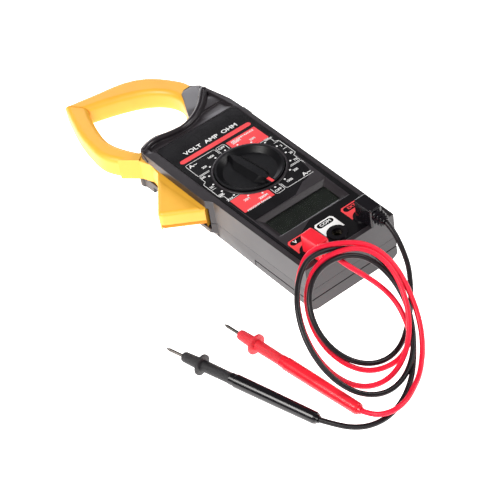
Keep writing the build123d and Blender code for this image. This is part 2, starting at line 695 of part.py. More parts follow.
def moving_jaw_solid():
    """Moving jaw's arm and lever as one block, with the arm and the trigger rounded."""
    arm = prism(moving_arm_face(), JAW_LOW, JAW_HIGH)
    lever = prism(lever_face(), JAW_LOW, JAW_HIGH)
    for height in (JAW_HIGH, JAW_LOW):
        arm = fillet(edges_at(arm, height, lambda e: e.geom_type == GeomType.BSPLINE), JAW_ROUND)
        lever = fillet(edges_at(lever, height, lambda e: e.center().X < -41 and e.center().Y < 45),
                       TRIGGER_ROUND)
    return arm + lever - trigger_underside()


def trigger_underside():
    """Wedge that slopes the trigger's outer side in towards the back."""
    section = Plane(origin=(-36.5, -3.0, JAW_LOW), x_dir=(0.581, 0.814, 0), z_dir=(-0.814, 0.581, 0))
    wedge = section * make_face(Polyline(
        (TRIGGER_SLOPE + 6, -6), (-6, TRIGGER_SLOPE + 6), (-6, -6), close=True))
    return extrude(wedge, amount=26)


def fixed_core_path():
    """Middle line of the core in the fixed jaw."""
    return Spline((-30.0, 132.2), (-18.0, 130.6), (0.0, 125.5), (14.0, 114.0), (21.5, 98.0),
                  (19.0, 80.0), tangents=[(1, -0.05), (-0.25, -1)])


def moving_core_path():
    """Middle line of the core in the moving jaw."""
    return Spline((-36.6, 130.5), (-42.5, 112.0), (-45.6, 94.0), (-42.4, 77.0), (-35.2, 66.0),
                  tangents=[(-0.3, -1), (0.5, -1)])


def strip_along(path, width, low, high):
    """Upright strip of one width along a plan curve."""
    start = path @ 0
    section = Plane(origin=start, z_dir=path % 0, x_dir=(0, 0, 1)) * Rectangle(high - low, width)
    return Pos(0, 0, (low + high) / 2) * sweep(section, path=path)


def fixed_core_leg():
    """Straight leg of the fixed core inside the case."""
    return box_between((-14.0, 51.0, CORE_LOW), (21.5, 51.0 + CORE_WIDTH, CORE_HIGH))


def fixed_core():
    """Laminated core of the fixed jaw and its leg through the winding."""
    curve = strip_along(fixed_core_path(), CORE_WIDTH, CORE_LOW, CORE_HIGH)
    post = polygon([(16.3, 81.2), (21.6, 79.8), (21.5, 51.0), (16.3, 51.0)])
    return curve + prism(post, CORE_LOW, CORE_HIGH) + fixed_core_leg()


def moving_core():
    """Laminated core of the moving jaw."""
    curve = strip_along(moving_core_path(), CORE_WIDTH, CORE_LOW, CORE_HIGH)
    foot = polygon([(-37.4, 65.8), (-33.6, 67.9), (-31.2, 61.6), (-26.0, 55.8), (-20.2, 55.8),
                    (-20.2, 50.8), (-28.2, 50.8), (-34.4, 60.4)])
    return curve + prism(foot, CORE_LOW, CORE_HIGH)


def winding_bobbin():
    """Flanged bobbin on the straight leg of the fixed core."""
    y_mid = 51.0 + CORE_WIDTH / 2
    z_mid = (CORE_LOW + CORE_HIGH) / 2
    hole = Pos(1.0, y_mid, z_mid) * Box(30, CORE_WIDTH + 0.2, CORE_HIGH - CORE_LOW + 0.2)
    barrel = Pos(1.0, y_mid, z_mid) * Box(15.0, CORE_WIDTH + 1.8, CORE_HIGH - CORE_LOW + 1.8)
    cheeks = [Pos(x, y_mid, z_mid) * Box(1.2, 11.0, 14.2) for x in (-6.6, 8.6)]
    return barrel + cheeks[0] + cheeks[1] - hole


def winding():
    """Copper winding on the bobbin."""
    y_mid = 51.0 + CORE_WIDTH / 2
    z_mid = (CORE_LOW + CORE_HIGH) / 2
    outer = Pos(1.0, y_mid, z_mid) * Box(13.8, 10.2, 13.4)
    outer = fillet(outer.edges().filter_by(Axis.X), 1.6)
    inner = Pos(1.0, y_mid, z_mid) * Box(20, CORE_WIDTH + 1.9, CORE_HIGH - CORE_LOW + 1.9)
    return outer - inner


def fixed_jaw_halves():
    """Front and rear mouldings of the fixed jaw."""
    solid = fixed_jaw_solid()
    solid -= strip_along(fixed_core_path(), CORE_WIDTH + 0.4, CORE_LOW - 0.2, CORE_HIGH + 0.2)
    solid -= prism(polygon([(16.1, 81.6), (21.8, 80.2), (21.8, 60.0), (16.1, 60.0)]),
                   CORE_LOW - 0.2, CORE_HIGH + 0.2)
    solid -= box_between((4.0, 60.0, 0), (14.0, 74.0, 17.0))
    return split_halves(solid)


def split_halves(solid):
    """Front and rear parts of a moulding, parted at the jaw's middle plane."""
    front = solid & box_between((-90, -30, JAW_MID), (60, 160, 60))
    rear = solid & box_between((-90, -30, -10), (60, 160, JAW_MID))
    return front, rear


def moving_jaw_halves():
    """Front and rear mouldings of the moving jaw, each with its half of the trigger."""
    solid = moving_jaw_solid()
    top_relief = prism(polygon([(-37.5, -12.0), (-12.0, -12.0), (-12.0, 70.0), (-30.0, 67.0),
                                (-40.0, 60.0), (-40.0, 30.0)]), 25.2, 40)
    solid -= top_relief
    solid -= strip_along(moving_core_path(), CORE_WIDTH + 0.4, CORE_LOW - 0.2, CORE_HIGH + 0.2)
    solid -= prism(polygon([(-37.5, 64.8), (-33.0, 67.4), (-30.9, 61.8), (-25.8, 56.0), (-15.0, 56.0),
                            (-15.0, 50.6), (-28.3, 50.6), (-34.7, 60.2)]),
                   CORE_LOW - 0.2, CORE_HIGH + 0.2)
    solid -= cylinder_between(PIVOT[0], PIVOT[1], 0, 40, PIVOT_RADIUS + PIVOT_CLEARANCE)
    solid -= cylinder_between(PIVOT[0], PIVOT[1], 17.0, 20.6, 5.4)
    trigger_hollow = polygon([(-48.6, 21.0), (-52.4, 15.4), (-38.5, 5.0), (-36.0, 6.5), (-34.5, 24.0),
                              (-43.0, 28.5)])
    solid -= prism(trigger_hollow, 14.5, 22.9)
    for x, y in jaw_screw_places():
        solid -= cylinder_between(x, y, JAW_LOW - 1, 23.2, 0.95)
        solid -= cylinder_between(x, y, JAW_LOW - 1, 14.0, 2.0)
    return split_halves(solid)


def jaw_screw_places():
    """Screws that hold the moving jaw's halves together."""
    return [(-36.0, 32.0), (-32.5, 13.6)]


def jaw_screws():
    """Two screws in the moving jaw."""
    return Compound([countersunk_screw(x, y, 12.9, 9.5, 0.85, 1.85, -1) for x, y in jaw_screw_places()])


def jaw_pivot_pin():
    """Steel pin that the moving jaw turns on."""
    pin = cylinder_between(PIVOT[0], PIVOT[1], PIN_BOTTOM, PIN_TOP, PIVOT_RADIUS)
    return chamfer(pin.edges().sort_by(Axis.Z)[-1], 0.3)


def jaw_spring():
    """Torsion spring round the pivot pin, inside the jaw's hub."""
    return Pos(PIVOT[0], PIVOT[1], 17.4) * helix_spring(3.4, 0.7, 0.85, 2.7)


# ---------------------------------------------------------------- leads
def plug_body(x, turn):
    """Right-angle plug seen as one moulding: a block on the jack with a tapered boot."""
    low = 33.0
    block = box_between((x - PLUG_WIDTH / 2, PLUG_END_Y, low),
                        (x + PLUG_WIDTH / 2, PLUG_BACK_Y, PLUG_TOP))
    upper = [e for e in block.edges() if e.center().Z > PLUG_TOP - 0.1 or
             (abs(e.center().Z - (low + PLUG_TOP) / 2) < 0.1)]
    block = fillet(upper, 1.3)
    boot = Pos(x, (PLUG_END_Y + BOOT_END_Y) / 2, LEAD_HEIGHT) * Rot(90, 0, 0) * Cone(
        3.6, 2.3, PLUG_END_Y - BOOT_END_Y)
    for n in range(RIB_COUNT):
        y = PLUG_END_Y - 1.6 - RIB_PITCH * n
        width = 7.0 - 0.7 * n
        rib = Pos(x, y, LEAD_HEIGHT) * Rot(90, 0, 0) * extrude(RectangleRounded(width, width, 1.4), 1.1)
        boot += rib
    return Pos(x, JACK_Y, 0) * Rot(0, 0, turn) * Pos(-x, -JACK_Y, 0) * (block + boot)


def plug_pin(x):
    """Four millimetre pin of one plug."""
    pin = cylinder_between(x, JACK_Y, 16.0, 33.0, PIN_RADIUS)
    return chamfer(pin.edges().sort_by(Axis.Z)[0], 0.6)


def probe_frame(ends):
    """Place and direction of a probe: its tail is at the origin, its tip along +X."""
    (tip_x, tip_y), (tail_x, tail_y) = ends
    angle = math.degrees(math.atan2(tip_y - tail_y, tip_x - tail_x))
    length = math.hypot(tip_x - tail_x, tip_y - tail_y)
    tail_height, guard_height = 3.4, 6.1
    slope = math.degrees(math.atan2(guard_height - tail_height, length * 0.757))
    return Pos(tail_x, tail_y, tail_height) * Rot(0, 0, angle) * Rot(0, -slope, 0), length


def probe_profile(points):
    """Turned piece about the probe's axis."""
    closed = [(points[0][0], 0)] + list(points) + [(points[-1][0], 0)]
    return revolve(make_face(Polyline(*closed, close=True)), Axis.X)


def probe_parts(ends):
    """Tip, handle, knurled grip and end boot of one probe."""
    place, length = probe_frame(ends)
    nose = length - 12.0
    grip_start, grip_end = length * 0.56, length * 0.757
    handle = probe_profile([
        (1.5, 3.0), (2.6, 3.4), (length * 0.3, 3.7), (grip_start - 3.4, 3.8), (grip_start - 3.0, 3.45),
        (grip_start, 3.45)])
    grip = probe_profile([
        (grip_start, 3.1), (grip_end - 1.2, 3.25), (grip_end - 0.9, 6.0),
        (grip_end + 0.3, 6.0), (grip_end + 0.6, 3.4), (nose - 1.4, 2.95), (nose - 0.4, 2.6), (nose, 1.9)])
    metal = probe_profile([
        (nose, 0.95), (length - 2.6, 0.95), (length - 0.2, 0.12)])
    boot = probe_profile([(0.0, 2.1), (1.5, 2.4)])
    return [place * piece for piece in (metal, handle, grip, boot)]


def probe_tail(ends):
    """Centre of the hole in a probe's boot, and the direction the lead leaves in."""
    place, _ = probe_frame(ends)
    start = (place * Vertex(0, 0, 0)).center()
    beyond = (place * Vertex(-1, 0, 0)).center()
    return start, (beyond - start).normalized()


def lead_radii(points):
    """Largest tangent arc at each corner of a route, from its shorter run and its turn."""
    vectors = [Vector(*p) for p in points]
    radii = []
    for before, corner, after in zip(vectors, vectors[1:], vectors[2:]):
        turn = math.radians((corner - before).get_angle(after - corner))
        shorter = min((corner - before).length, (after - corner).length)
        radii.append(0.45 * shorter / math.tan(turn / 2))
    return radii


def lead_tube(name, points):
    """Round tube along straight runs joined by tangent arcs."""
    radii = lead_radii(points)
    path = FilletPolyline(*points, radius=radii)
    tube = sweep(Plane(origin=path @ 0, z_dir=path % 0) * Circle(LEAD_DIAMETER / 2), path=path)
    expected = math.pi * LEAD_DIAMETER ** 2 / 4 * path.length
    print(name, "length", round(path.length, 1), "volume ratio", round(tube.volume / expected, 3),
          "radii", [round(r, 1) for r in radii])
    return tube


RED_START = [
    (-17.6, BOOT_END_Y, LEAD_HEIGHT), (-17.1, -104.4, 38.4), (-14.2, -109.8, 34.8),
    (-10.0, -114.8, 29.6), (-5.8, -119.6, 23.6), (-2.8, -125.4, 17.2),
]
BLACK_START = [
    (JACK_PITCH, BOOT_END_Y, LEAD_HEIGHT), (18.8, -103.8, 37.8), (18.3, -108.8, 33.4),
    (17.8, -113.4, 27.0), (16.8, -117.4, 20.5), (14.4, -120.8, 13.4), (10.6, -125.0, 7.0),
    (4.5, -130.6, 3.2), (-3.0, -136.4, 1.7),
]
RED_END = [
    (3.4, -134.4, 19.6), (0.6, -142.0, 13.4), (-3.6, -149.2, 7.8), (-9.2, -155.8, 3.4),
    (-15.6, -161.8, 1.6), (-22.4, -167.4, 1.6), (-31.0, -173.0, 3.6), (-40.0, -177.8, 5.0),
    (-48.8, -179.2, 5.8), (-55.2, -176.6, 5.4), (-58.8, -171.6, 4.4),
]
BLACK_END = [
    (-4.4, -142.6, 8.6), (-10.2, -149.8, 4.8), (-16.4, -156.8, 2.2), (-25.6, -165.4, 1.5),
    (-35.4, -171.8, 1.6), (-44.4, -175.6, 1.5), (-52.8, -177.2, 1.6), (-61.0, -175.8, 1.5),
    (-67.8, -172.0, 1.6), (-74.2, -165.2, 2.4),
]


def leads():
    """The four tubes of the two leads, outside their loose coil."""
    red_tail, red_way = probe_tail(PROBE_RED)
    black_tail, black_way = probe_tail(PROBE_BLACK)
    red_end = RED_END + [tuple(red_tail + red_way * 0.02)]
    black_end = BLACK_END + [tuple(black_tail + black_way * 0.02)]
    return {
        "red_lead_start": lead_tube("red_lead_start", RED_START),
        "black_lead_start": lead_tube("black_lead_start", BLACK_START),
        "red_lead_end": lead_tube("red_lead_end", red_end),
        "black_lead_end": lead_tube("black_lead_end", black_end),
    }


def lead_coil():
    """Outer shape of the loose coil that both leads share, leaning from the plug to the floor."""
    centre = Pos(-28.0, -126.6, 0) * Rot(0, 0, 45)
    ring = centre * (Ellipse(38.0, 31.0) - Ellipse(24.0, 20.0))
    side = Plane.YZ * make_face(Polyline(
        (-90.0, 44.6), (-101.0, 42.4), (-135.0, 0.0), (-170.0, 0.0), (-170.0, 2.0),
        (-101.0, 48.0), (-90.0, 50.5), close=True))
    coil = prism(ring, -5, 60) & extrude(side, amount=90, both=True)
    place, length = probe_frame(PROBE_RED)
    return coil - place * Pos(length / 2, 0, 0) * Rot(0, 90, 0) * Cylinder(5.8, length)


# ---------------------------------------------------------------- all nodes
def nodes():
    """Every piece by name."""
    front, rear, cover = shells()
    fixed_front, fixed_rear = fixed_jaw_halves()
    moving_front, moving_rear = moving_jaw_halves()
    parts = {
        "front_shell": front,
        "rear_shell": rear,
        "battery_cover": cover,
        "case_screws": case_screws(),
        "battery_cover_screw": battery_cover_screw(),
        "face_label": face_label(),
        "lcd_window": lcd_window(),
        "lcd_panel": lcd_panel(),
        "lcd_frame": lcd_frame(),
        "display_strips": display_strips(),
        "circuit_board": circuit_board(),
        "board_screws": board_screws(),
        "measuring_chip": measuring_chip(),
        "trimmer": trimmer(),
        "fuse": fuse(),
        "buzzer": buzzer(),
        "rotary_knob": rotary_knob(),
        "knob_pointer": knob_pointer(),
        "detent_springs": detent_springs(),
        "detent_balls": detent_balls(),
        "knob_contacts": knob_contacts(),
        "knob_clip": knob_clip(),
        "jack_housings": jack_housings(),
        "jack_sleeves": jack_sleeves(),
        "jack_contacts": jack_contacts(),
        "hold_button": hold_button(),
        "hold_switch": hold_switch(),
        "hold_spring": hold_spring(),
        "battery": battery(),
        "battery_terminals": battery_terminals(),
        "battery_snap": battery_snap(),
        "battery_wires": battery_wires(),
        "fixed_jaw_front": fixed_front,
        "fixed_jaw_rear": fixed_rear,
        "fixed_core": fixed_core(),
        "winding_bobbin": winding_bobbin(),
        "winding": winding(),
        "moving_jaw_front": moving_front,
        "moving_jaw_rear": moving_rear,
        "moving_core": moving_core(),
        "jaw_screws": jaw_screws(),
        "jaw_pivot_pin": jaw_pivot_pin(),
        "jaw_spring": jaw_spring(),
        "lead_coil": lead_coil(),
    }
    for colour, x, turn, ends in (("red", -JACK_PITCH, RED_PLUG_TURN, PROBE_RED),
                                  ("black", JACK_PITCH, 0.0, PROBE_BLACK)):
        parts[colour + "_plug"] = plug_body(x, turn)
        parts[colour + "_plug_pin"] = plug_pin(x)
        metal, handle, grip, boot = probe_parts(ends)
        parts[colour + "_probe_tip"] = metal
        parts[colour + "_probe_handle"] = handle
        parts[colour + "_probe_grip"] = grip
        parts[colour + "_probe_boot"] = boot
    parts.update(leads())
    return parts


os.makedirs("parts", exist_ok=True)
for node, shape in nodes().items():
    export_step(shape, "parts/" + node + ".step")
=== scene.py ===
"""Looks of the clamp meter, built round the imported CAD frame. Metres, in the frame of part.py."""

import math

import bmesh
import bpy
from mathutils import Matrix, Vector


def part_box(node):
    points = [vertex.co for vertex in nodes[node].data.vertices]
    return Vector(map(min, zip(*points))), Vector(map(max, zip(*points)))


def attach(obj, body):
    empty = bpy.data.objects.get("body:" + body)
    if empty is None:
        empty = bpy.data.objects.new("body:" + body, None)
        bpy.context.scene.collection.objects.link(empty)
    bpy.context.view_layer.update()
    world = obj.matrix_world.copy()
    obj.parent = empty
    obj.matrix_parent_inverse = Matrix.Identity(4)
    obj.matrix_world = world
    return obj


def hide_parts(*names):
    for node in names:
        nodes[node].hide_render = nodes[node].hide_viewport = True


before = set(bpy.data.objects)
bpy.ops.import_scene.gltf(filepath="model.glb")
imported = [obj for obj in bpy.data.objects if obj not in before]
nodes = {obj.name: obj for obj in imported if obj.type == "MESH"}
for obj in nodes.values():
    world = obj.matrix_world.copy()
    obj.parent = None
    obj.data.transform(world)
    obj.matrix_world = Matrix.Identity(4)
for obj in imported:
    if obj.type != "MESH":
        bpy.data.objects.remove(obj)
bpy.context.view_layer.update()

MM = 0.001
LABEL_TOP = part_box("face_label")[1].z       # surface that the dial is printed on
LEAD_DIAMETER = 3.0 * MM
WIRE_ON_FLOOR = 1.55        # millimetres from the floor to the middle of a lead that lies on it


# ---------------------------------------------------------------- camera, light, floor
CAMERA_PLACE = (-0.38326, -0.62635, 0.63477)
CAMERA_LOOK = (0.37961, 0.63638, -0.67150)
CAMERA_RIGHT = (0.78346, -0.60715, -0.13250)
SENSOR_WIDTH = 36.0         # millimetres, as the lens
LENS = 118.2
WORLD_STRENGTH = 0.10       # low, so that the glossy label stays black
FLOOR_GLOW = 1.6
FLOOR_SIZE = 6.0
LIGHT_TARGET = (0.0, -0.03, 0.02)


def make_camera():
    """Camera at the photograph's angle: high, in front of the jacks' end, to the left."""
    place = Vector(CAMERA_PLACE)
    look = Vector(CAMERA_LOOK).normalized()
    right = Vector(CAMERA_RIGHT).normalized()
    up = right.cross(look)
    data = bpy.data.cameras.new("camera")
    data.sensor_width = SENSOR_WIDTH
    data.lens = LENS
    data.clip_start = 0.01
    data.clip_end = 10.0
    camera = bpy.data.objects.new("camera", data)
    turn = Matrix((right, up, -look)).transposed().to_4x4()
    camera.matrix_world = Matrix.Translation(place) @ turn
    bpy.context.scene.collection.objects.link(camera)
    bpy.context.scene.camera = camera


def soft_light(name, place, size, power, colour):
    """Square area light aimed at the middle of the object."""
    data = bpy.data.lights.new(name, "AREA")
    data.size = size
    data.energy = power
    data.color = colour
    lamp = bpy.data.objects.new(name, data)
    lamp.location = place
    aim = Vector(LIGHT_TARGET) - Vector(place)
    lamp.rotation_euler = aim.to_track_quat("-Z", "Y").to_euler()
    bpy.context.scene.collection.objects.link(lamp)


def make_studio():
    """White floor and surround with four soft lights."""
    world = bpy.data.worlds.new("studio")
    world.use_nodes = True
    surround = world.node_tree.nodes["Background"]
    surround.inputs["Color"].default_value = (1.0, 1.0, 1.0, 1.0)
    surround.inputs["Strength"].default_value = WORLD_STRENGTH
    bpy.context.scene.world = world
    bpy.context.scene.view_settings.view_transform = "Standard"
    soft_light("key_light", (-0.85, -0.05, 0.95), 0.6, 15.0, (1.0, 0.985, 0.96))
    soft_light("back_light", (0.50, 1.35, 0.42), 0.8, 6.0, (0.96, 0.95, 1.0))
    soft_light("side_light", (0.85, -0.5, 0.8), 0.5, 6.0, (1.0, 0.985, 0.98))
    soft_light("front_light", (-0.5, -0.9, 0.9), 0.5, 4.0, (1.0, 0.985, 0.98))
    bpy.ops.mesh.primitive_grid_add(x_subdivisions=8, y_subdivisions=8, size=FLOOR_SIZE,
                                    location=(0.0, 0.0, 0.0))
    floor = bpy.context.object
    floor.name = "floor"
    floor.data.materials.append(light_table("floor_white"))


# ---------------------------------------------------------------- materials
def new_material(name, colour, roughness, metallic=0.0):
    """Node material with its uniform values set on the shader's own sockets."""
    material = bpy.data.materials.new(name)
    material.use_nodes = True
    shader = material.node_tree.nodes["Principled BSDF"]
    shader.inputs["Base Color"].default_value = (*colour, 1.0)
    shader.inputs["Roughness"].default_value = roughness
    shader.inputs["Metallic"].default_value = metallic
    return material, material.node_tree.nodes, material.node_tree.links, shader


def surface_noise(tree_nodes, links, size, detail=2.0, stretch=(1.0, 1.0, 1.0)):
    """Noise of one feature size in metres, fixed to the object."""
    place = tree_nodes.new("ShaderNodeTexCoord")
    scale = tree_nodes.new("ShaderNodeMapping")
    scale.inputs["Scale"].default_value = stretch
    noise = tree_nodes.new("ShaderNodeTexNoise")
    noise.inputs["Scale"].default_value = 1.0 / size
    noise.inputs["Detail"].default_value = detail
    links.new(place.outputs["Object"], scale.inputs["Vector"])
    links.new(scale.outputs["Vector"], noise.inputs["Vector"])
    return noise.outputs["Fac"]


def ramp_between(tree_nodes, links, factor, low, high, start=0.3, end=0.7):
    """Colour that goes from low to high as the factor goes from start to end."""
    ramp = tree_nodes.new("ShaderNodeValToRGB")
    ramp.color_ramp.elements[0].position = start
    ramp.color_ramp.elements[1].position = end
    ramp.color_ramp.elements[0].color = (*low, 1.0)
    ramp.color_ramp.elements[1].color = (*high, 1.0)
    links.new(factor, ramp.inputs["Fac"])
    return ramp.outputs["Color"]


def value_between(tree_nodes, links, factor, low, high):
    """Number that goes from low to high with the factor."""
    spread = tree_nodes.new("ShaderNodeMapRange")
    spread.inputs["From Min"].default_value = 0.3
    spread.inputs["From Max"].default_value = 0.7
    spread.inputs["To Min"].default_value = low
    spread.inputs["To Max"].default_value = high
    links.new(factor, spread.inputs["Value"])
    return spread.outputs["Result"]


def add_bump(tree_nodes, links, shader, height, strength, distance):
    """Bump of one height field."""
    bump = tree_nodes.new("ShaderNodeBump")
    bump.inputs["Strength"].default_value = strength
    bump.inputs["Distance"].default_value = distance
    links.new(height, bump.inputs["Height"])
    links.new(bump.outputs["Normal"], shader.inputs["Normal"])
    return bump


def moulded(name, colour, roughness, grain=0.0004, bump=0.25, mottle=0.08, coat=0.0, shine=0.5):
    """Moulded plastic: fine grain in the bump, faint mottling in colour and gloss."""
    material, made, links, shader = new_material(name, colour, roughness)
    broad = surface_noise(made, links, 0.012, detail=4.0)
    low = [c * (1.0 - mottle) for c in colour]
    high = [min(1.0, c * (1.0 + mottle)) for c in colour]
    links.new(ramp_between(made, links, broad, low, high), shader.inputs["Base Color"])
    rough = value_between(made, links, broad, roughness - 0.03, roughness + 0.03)
    links.new(rough, shader.inputs["Roughness"])
    shader.inputs["Specular IOR Level"].default_value = shine
    shader.inputs["Coat Weight"].default_value = coat
    shader.inputs["Coat Roughness"].default_value = 0.12
    if bump > 0:
        fine = surface_noise(made, links, grain, detail=3.0)
        add_bump(made, links, shader, fine, bump, 0.00006)
    return material


def light_table(name):
    """Plain white floor that glows like a light table."""
    material, made, links, shader = new_material(name, (0.9, 0.9, 0.9), 0.6)
    broad = surface_noise(made, links, 0.8)
    links.new(ramp_between(made, links, broad, (0.88, 0.88, 0.88), (0.92, 0.92, 0.92)),
              shader.inputs["Base Color"])
    shader.inputs["Emission Color"].default_value = (1.0, 0.985, 0.98, 1.0)
    shader.inputs["Emission Strength"].default_value = FLOOR_GLOW
    return material


def metal(name, colour, roughness, stretch=(1.0, 1.0, 6.0), tarnish=0.12):
    """Plated or drawn metal with fine lines along the part."""
    material, made, links, shader = new_material(name, colour, roughness, metallic=1.0)
    lines = surface_noise(made, links, 0.0006, detail=4.0, stretch=stretch)
    broad = surface_noise(made, links, 0.006, detail=3.0)
    low = [c * (1.0 - tarnish) for c in colour]
    links.new(ramp_between(made, links, broad, low, colour), shader.inputs["Base Color"])
    rough = value_between(made, links, lines, max(0.05, roughness - 0.08), roughness + 0.1)
    links.new(rough, shader.inputs["Roughness"])
    add_bump(made, links, shader, lines, 0.15, 0.00004)
    return material


def layered_steel(name):
    """Core of thin stacked sheets, seen as fine lines across its edge."""
    material, made, links, shader = new_material(name, (0.34, 0.34, 0.36), 0.45, metallic=1.0)
    place = made.new("ShaderNodeTexCoord")
    sheets = made.new("ShaderNodeTexWave")
    sheets.wave_type = "BANDS"
    sheets.bands_direction = "Z"
    sheets.inputs["Scale"].default_value = 400.0
    links.new(place.outputs["Object"], sheets.inputs["Vector"])
    stripes = ramp_between(made, links, sheets.outputs["Fac"], (0.16, 0.16, 0.17), (0.42, 0.42, 0.44))
    links.new(stripes, shader.inputs["Base Color"])
    add_bump(made, links, shader, sheets.outputs["Fac"], 0.4, 0.0001)
    return material


def wound_wire(name):
    """Enamelled copper turns lying side by side, painted lighter along each turn's crest and darker with
    painted shade between the turns.
    """
    material, made, links, shader = new_material(name, (0.6, 0.22, 0.08), 0.3, metallic=1.0)
    place = made.new("ShaderNodeTexCoord")
    turns = made.new("ShaderNodeTexWave")
    turns.wave_type = "BANDS"
    turns.bands_direction = "X"
    turns.inputs["Scale"].default_value = 1000.0
    links.new(place.outputs["Object"], turns.inputs["Vector"])
    # painted light: bright copper along the crests of the turns, painted shade in the grooves between them
    stripes = ramp_between(made, links, turns.outputs["Fac"], (0.3, 0.08, 0.03), (0.75, 0.3, 0.12))
    links.new(stripes, shader.inputs["Base Color"])
    add_bump(made, links, shader, turns.outputs["Fac"], 0.6, 0.0002)
    return material


def clear_window(name):
    """Clear acrylic with a faint haze."""
    material, made, links, shader = new_material(name, (0.95, 0.98, 0.96), 0.04)
    shader.inputs["Transmission Weight"].default_value = 1.0
    shader.inputs["IOR"].default_value = 1.49
    haze = surface_noise(made, links, 0.02, detail=3.0)
    links.new(value_between(made, links, haze, 0.02, 0.06), shader.inputs["Roughness"])
    return material


def display_glass(name):
    """Blank reflective display: dark grey-green, a little uneven."""
    material, made, links, shader = new_material(name, (0.012, 0.017, 0.012), 0.35)
    cloud = surface_noise(made, links, 0.03, detail=3.0)
    links.new(ramp_between(made, links, cloud, (0.010, 0.014, 0.010), (0.015, 0.021, 0.014)),
              shader.inputs["Base Color"])
    shader.inputs["Specular IOR Level"].default_value = 0.2
    return material


def solder_resist(name):
    """Green circuit board with faint tracks."""
    material, made, links, shader = new_material(name, (0.02, 0.14, 0.05), 0.35)
    place = made.new("ShaderNodeTexCoord")
    tracks = made.new("ShaderNodeTexVoronoi")
    tracks.distance = "MANHATTAN"
    tracks.inputs["Scale"].default_value = 260.0
    links.new(place.outputs["Object"], tracks.inputs["Vector"])
    green = ramp_between(made, links, tracks.outputs["Distance"], (0.04, 0.24, 0.09), (0.012, 0.10, 0.035))
    links.new(green, shader.inputs["Base Color"])
    add_bump(made, links, shader, tracks.outputs["Distance"], 0.3, 0.0001)
    return material


def knurled(name, colour, roughness):
    """Grip moulded with small raised diamonds, with a painted highlight on their tops and painted shade in
    the grooves between them.
    """
    material, made, links, shader = new_material(name, colour, roughness)
    place = made.new("ShaderNodeTexCoord")
    cells = made.new("ShaderNodeTexVoronoi")
    cells.inputs["Scale"].default_value = 1500.0
    cells.inputs["Randomness"].default_value = 0.35
    links.new(place.outputs["Object"], cells.inputs["Vector"])
    low = [c * 0.55 for c in colour]
    high = [min(1.0, c * 1.1) for c in colour]
    # painted light: colour lighter on the diamonds' tops, darker with painted shade in the grooves between
    # them
    links.new(ramp_between(made, links, cells.outputs["Distance"], high, low, 0.2, 0.9),
              shader.inputs["Base Color"])
    add_bump(made, links, shader, cells.outputs["Distance"], 0.7, 0.00035).invert = True
    return material


def insulation(name, colour, roughness):
    """Soft lead insulation with a faint drawn grain and small scuffs."""
    material, made, links, shader = new_material(name, colour, roughness)
    broad = surface_noise(made, links, 0.008, detail=4.0)
    low = [c * 0.88 for c in colour]
    high = [min(1.0, c * 1.08 + 0.004) for c in colour]
    links.new(ramp_between(made, links, broad, low, high), shader.inputs["Base Color"])
    fine = surface_noise(made, links, 0.0007, detail=3.0)
    links.new(value_between(made, links, fine, roughness - 0.06, roughness + 0.08),
              shader.inputs["Roughness"])
    add_bump(made, links, shader, fine, 0.2, 0.00005)
    shader.inputs["Specular IOR Level"].default_value = 0.3
    shader.inputs["Subsurface Weight"].default_value = 0.04
    shader.inputs["Subsurface Radius"].default_value = (0.002, 0.0006, 0.0006)
    return material


YELLOW = (0.90, 0.46, 0.045)
RED = (0.80, 0.018, 0.035)
RED_PRINT = (0.86, 0.06, 0.07)
CHARCOAL = (0.022, 0.018, 0.021)

MATERIALS = {
    "case": moulded("case_plastic", CHARCOAL, 0.34, grain=0.0005, bump=0.08, mottle=0.08),
    "crest": moulded("crest_plastic", CHARCOAL, 0.22, grain=0.0008, bump=0.03, mottle=0.08),
    "rear": moulded("rear_case_plastic", CHARCOAL, 0.38, grain=0.0005, bump=0.08, mottle=0.08),
    "yellow": moulded("jaw_plastic", YELLOW, 0.38, grain=0.0006, bump=0.06, mottle=0.035),
    "knob": moulded("knob_plastic", (0.005, 0.005, 0.006), 0.3, bump=0.0, shine=0.22),
    "label": moulded("label_print_black", (0.0035, 0.003, 0.004), 0.2, bump=0.0, coat=0.2),
    "white": moulded("label_print_white", (0.86, 0.86, 0.86), 0.35, bump=0.0, mottle=0.04),
    "red_print": moulded("label_print_red", RED_PRINT, 0.3, bump=0.0, mottle=0.05),
    "red": moulded("red_moulding", RED, 0.22, bump=0.0, mottle=0.05),
    "black": moulded("black_moulding", (0.006, 0.005, 0.007), 0.2, bump=0.0, mottle=0.1),
    "red_grip": knurled("red_grip", RED, 0.45),
    "black_grip": knurled("black_grip", (0.006, 0.005, 0.007), 0.5),
    "red_lead": insulation("red_insulation", (0.82, 0.010, 0.040), 0.36),
    "black_lead": insulation("black_insulation", (0.006, 0.004, 0.006), 0.38),
    "steel": metal("plated_steel", (0.62, 0.62, 0.62), 0.28),
    "spring": metal("spring_wire", (0.5, 0.5, 0.5), 0.3),
    "nickel": metal("nickel_plate", (0.17, 0.155, 0.145), 0.32, stretch=(1.0, 6.0, 1.0)),
    "brass": metal("brass_tube", (0.10, 0.085, 0.06), 0.35),
    "core": layered_steel("core_sheets"),
    "winding": wound_wire("winding_turns"),
    "clear": clear_window("clear_acrylic"),
    "display": display_glass("display_glass"),
    "board": solder_resist("board_green"),
    "chip": moulded("chip_moulding", (0.02, 0.02, 0.02), 0.5),
    "white_part": moulded("white_moulding", (0.78, 0.78, 0.75), 0.45),
    "rubber": moulded("grey_rubber", (0.2, 0.2, 0.21), 0.6),
    "battery": moulded("battery_sleeve", (0.06, 0.06, 0.075), 0.35, coat=0.3),
}

